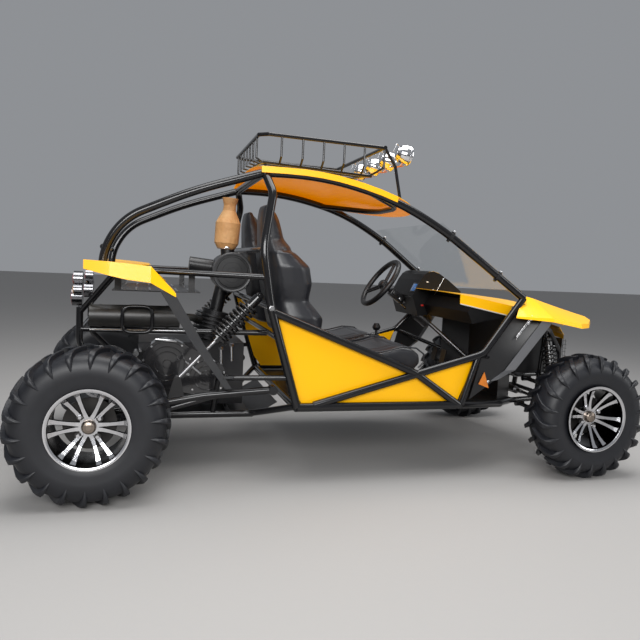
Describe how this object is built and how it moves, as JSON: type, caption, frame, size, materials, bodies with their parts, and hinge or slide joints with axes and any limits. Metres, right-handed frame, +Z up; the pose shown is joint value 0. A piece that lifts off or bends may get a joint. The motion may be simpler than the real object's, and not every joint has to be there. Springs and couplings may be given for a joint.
{
  "type": "dune buggy",
  "caption": "Tube-framed two-seat dune buggy with a rear engine, coil-over suspension, roof basket with lamps, steered front wheels and knobby tyres.",
  "frame": {"origin": "on the ground under the middle of the bounding box, midway between the rear edge of the rear tyres and the front edge of the front tyres", "axes": "+X forward, +Y to the driver's left, +Z up"},
  "size_m": [2.9574, 1.52, 1.6003],
  "materials": {
    "black_tube": "gloss powder coat",
    "yellow_panel": "gloss paint",
    "tyre_rubber": "matt, slightly worn",
    "machined_alloy": "machined face",
    "dark_panel": "gloss",
    "black_plastic": "matt",
    "seat_vinyl": "satin vinyl",
    "clear_screen": "clear",
    "engine_metal": "cast",
    "spring_steel": "gloss",
    "steel": "brushed",
    "chrome": "mirror",
    "grey_sheet": "gloss paint",
    "paper_sleeve": "matt wrap"
  },
  "bodies": {
    "chassis": {"air_filter": "black_plastic", "belt_cover": "dark_panel", "dashboard": "dark_panel", "drive_shafts": "steel", "engine_block": "engine_metal", "engine_cylinder": "engine_metal", "floor_pan": "black_plastic", "foot_box": "black_plastic", "front_fenders": "yellow_panel", "front_frame": "black_tube", "front_lower_arms": "black_tube", "front_shocks": "spring_steel", "front_struts": "grey_sheet", "front_upper_arms": "black_tube", "gear_lever": "black_plastic", "hood": "yellow_panel", "intake_sleeve": "paper_sleeve", "main_hoop": "black_tube", "muffler": "black_tube", "muffler_guard": "black_tube", "nose_grille": "black_plastic", "nose_panel": "yellow_panel", "nose_sides": "black_plastic", "pedals": "black_plastic", "rack_plate": "black_plastic", "rear_fender_struts": "grey_sheet", "rear_fenders": "yellow_panel", "rear_frame": "black_tube", "rear_shocks": "spring_steel", "rear_top_tubes": "black_tube", "roof_basket": "black_tube", "roof_cross_tube": "black_tube", "roof_lamps": "chrome", "roof_rail_left": "black_tube", "roof_rail_right": "black_tube", "roof_shell": "yellow_panel", "seat_backs": "seat_vinyl", "seat_cushions": "seat_vinyl", "seat_frames": "black_tube", "side_frame_left": "black_tube", "side_frame_right": "black_tube", "side_panels": "yellow_panel", "skid_pan": "black_plastic", "skirts": "dark_panel", "steering_box": "black_tube", "tail_lamps": "chrome", "trailing_arms": "black_tube", "windshield": "clear_screen"},
    "knuckle_left": {"knuckle_left": "steel"},
    "knuckle_right": {"knuckle_right": "steel"},
    "wheel_front_left": {"rim_front_left": "machined_alloy", "tyre_front_left": "tyre_rubber"},
    "wheel_front_right": {"rim_front_right": "machined_alloy", "tyre_front_right": "tyre_rubber"},
    "wheel_rear_left": {"rim_rear_left": "machined_alloy", "tyre_rear_left": "tyre_rubber"},
    "wheel_rear_right": {"rim_rear_right": "machined_alloy", "tyre_rear_right": "tyre_rubber"},
    "rack": {"steering_rack": "steel"},
    "hand_wheel": {"steering_wheel": "black_plastic"}
  },
  "joints": [
    {"name": "steer_left", "type": "hinge", "parent": "chassis", "child": "knuckle_left", "pos_m": [1.17425, 0.555, 0.305], "axis": [0, 0, 1], "range_deg": [-28, 28]},
    {"name": "steer_right", "type": "hinge", "parent": "chassis", "child": "knuckle_right", "pos_m": [1.17425, -0.555, 0.305], "axis": [0, 0, 1], "range_deg": [-28, 28]},
    {"name": "rack_slide", "type": "slide", "parent": "chassis", "child": "rack", "axis": [0, -1, 0], "range_m": [-0.0448, 0.0448]},
    {"name": "hand_wheel_turn", "type": "hinge", "parent": "chassis", "child": "hand_wheel", "pos_m": [0.402, 0.29, 0.902], "axis": [-0.8152, 0, 0.5792], "range_deg": [-270, 270]},
    {"name": "wheel_rear_left_spin", "type": "hinge", "parent": "chassis", "child": "wheel_rear_left", "pos_m": [-1.16175, 0.636, 0.3175], "axis": [0, 1, 0], "continuous": true},
    {"name": "wheel_rear_right_spin", "type": "hinge", "parent": "chassis", "child": "wheel_rear_right", "pos_m": [-1.16175, -0.636, 0.3175], "axis": [0, 1, 0], "continuous": true},
    {"name": "wheel_front_left_spin", "type": "hinge", "parent": "knuckle_left", "child": "wheel_front_left", "pos_m": [1.17425, 0.63, 0.305], "axis": [0, 1, 0], "continuous": true},
    {"name": "wheel_front_right_spin", "type": "hinge", "parent": "knuckle_right", "child": "wheel_front_right", "pos_m": [1.17425, -0.63, 0.305], "axis": [0, 1, 0], "continuous": true}
  ],
  "couplings": [
    {"joint": "steer_right", "follows": "steer_left", "ratio": 1},
    {"joint": "rack_slide", "follows": "steer_left", "m_per_rad": 0.0913},
    {"joint": "hand_wheel_turn", "follows": "steer_left", "ratio": 9.6}
  ]
}
